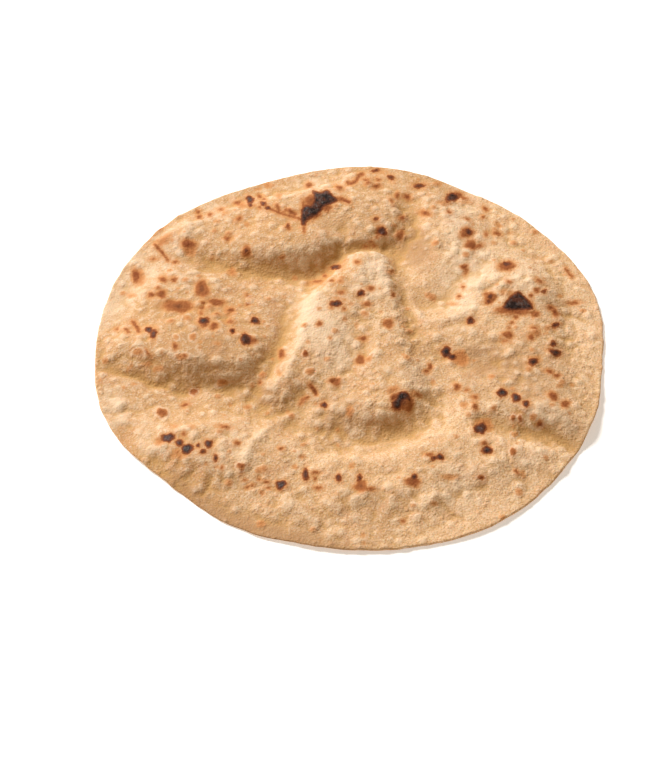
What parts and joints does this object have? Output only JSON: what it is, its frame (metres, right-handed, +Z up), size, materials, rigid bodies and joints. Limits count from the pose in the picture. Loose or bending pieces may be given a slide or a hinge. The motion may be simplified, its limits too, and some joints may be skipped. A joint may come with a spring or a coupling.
{
  "type": "chapati flatbread",
  "caption": "Round thin whole-wheat flatbread, baked on a griddle, with soft puffed mounds, valleys and scorch marks.",
  "frame": {"origin": "on the table, under the middle of the bread's outline", "axes": "+Z up, through the bread's thickness; +X to the right and +Y to the back, seen from the front"},
  "size_m": [0.221, 0.2202, 0.0113],
  "materials": {
    "baked_dough": "matte baked whole-wheat crust with brown and black scorch marks"
  },
  "bodies": {
    "root": {"chapati": "baked_dough"}
  },
  "joints": []
}
